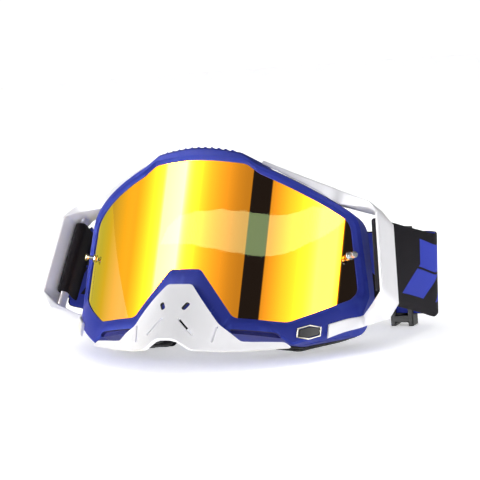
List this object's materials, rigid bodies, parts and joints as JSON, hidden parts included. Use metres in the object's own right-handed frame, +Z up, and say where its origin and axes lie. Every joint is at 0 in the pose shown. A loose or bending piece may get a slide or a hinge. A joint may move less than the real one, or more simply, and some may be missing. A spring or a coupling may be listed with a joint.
{
  "type": "motorcycle goggles",
  "caption": "Off-road motorcycle goggles with a mirrored wraparound lens, clip-on nose guard, side arms that hold a wide elastic strap, and layered face foam.",
  "frame": {"origin": "centre of the footprint at the height of the surface that the goggles rest on", "axes": "+X to the wearer's left, +Y from the lens towards the face and the back of the strap, +Z up"},
  "size_m": [0.2206, 0.1556, 0.1183],
  "materials": {
    "frame_polymer": "matte",
    "mirror_lens": "mirror",
    "white_plastic": "satin",
    "black_plastic": "satin",
    "bright_metal": "polished",
    "face_foam": "matte",
    "fleece": "matte",
    "filter_foam": "matte",
    "strap_webbing": "woven",
    "silicone": "satin"
  },
  "bodies": {
    "goggles": {"frame": "frame_polymer", "lens": "mirror_lens", "lens_post_left": "bright_metal", "lens_post_right": "bright_metal", "post_washer_left": "black_plastic", "post_washer_right": "black_plastic", "filter_crown": "filter_foam", "filter_jaw_left": "filter_foam", "filter_jaw_right": "filter_foam", "foam_base": "face_foam", "foam_middle": "face_foam", "face_fleece": "fleece", "outrigger_left": "white_plastic", "outrigger_right": "white_plastic", "badge_plate": "black_plastic", "badge_rim": "bright_metal", "strap": "strap_webbing", "strap_back_band": "strap_webbing", "grip_bead_1": "silicone", "grip_bead_2": "silicone", "grip_bead_3": "silicone"},
    "nose_guard": {"nose_guard": "white_plastic"},
    "slider_left": {"slider_left": "black_plastic"},
    "slider_right": {"slider_right": "black_plastic"}
  },
  "joints": [
    {"name": "nose_guard_pull_off", "type": "slide", "parent": "goggles", "child": "nose_guard", "axis": [0, -0.8988, 0.4384], "range_m": [0, 0.02]},
    {"name": "slider_left_slide", "type": "slide", "parent": "goggles", "child": "slider_left", "axis": [-1, 0, 0], "range_m": [0, 0.04]},
    {"name": "slider_right_slide", "type": "slide", "parent": "goggles", "child": "slider_right", "axis": [1, 0, 0], "range_m": [0, 0.04]}
  ]
}
